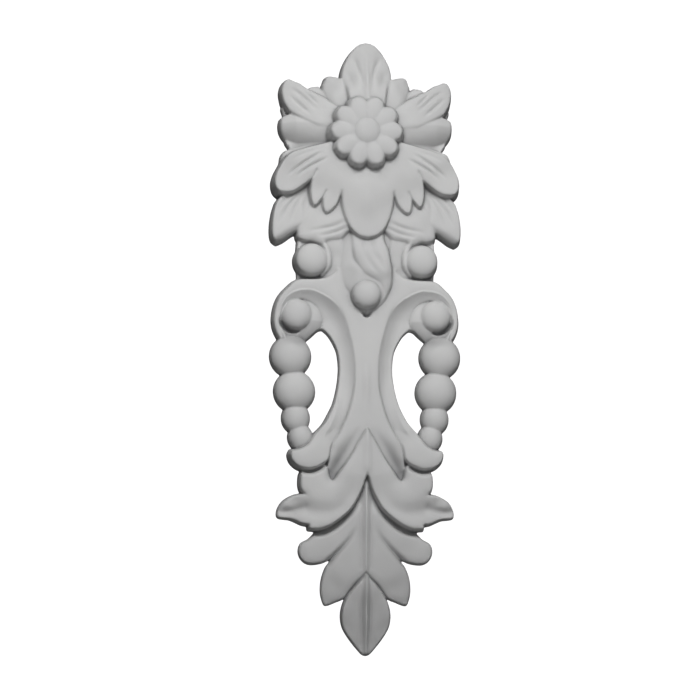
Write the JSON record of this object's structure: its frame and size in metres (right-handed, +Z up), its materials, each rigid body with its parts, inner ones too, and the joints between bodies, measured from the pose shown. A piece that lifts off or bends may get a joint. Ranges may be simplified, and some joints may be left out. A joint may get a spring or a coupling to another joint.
{
  "type": "floral applique",
  "caption": "Slim drop applique with a flat back: a flower among leaves over open scrolls with bead strings, ending in a pointed leaf.",
  "frame": {"origin": "middle of the height and width, in the plane of the flat back", "axes": "+Z up along the ornament, +Y out of the flat back into the surface it is fixed on, so the relief faces -Y, +X to the viewer's right"},
  "size_m": [0.094, 0.0234, 0.2979],
  "materials": {
    "plaster": "matt painted plaster, soft-edged from its mould"
  },
  "bodies": {
    "root": {"floral_applique": "plaster"}
  },
  "joints": []
}
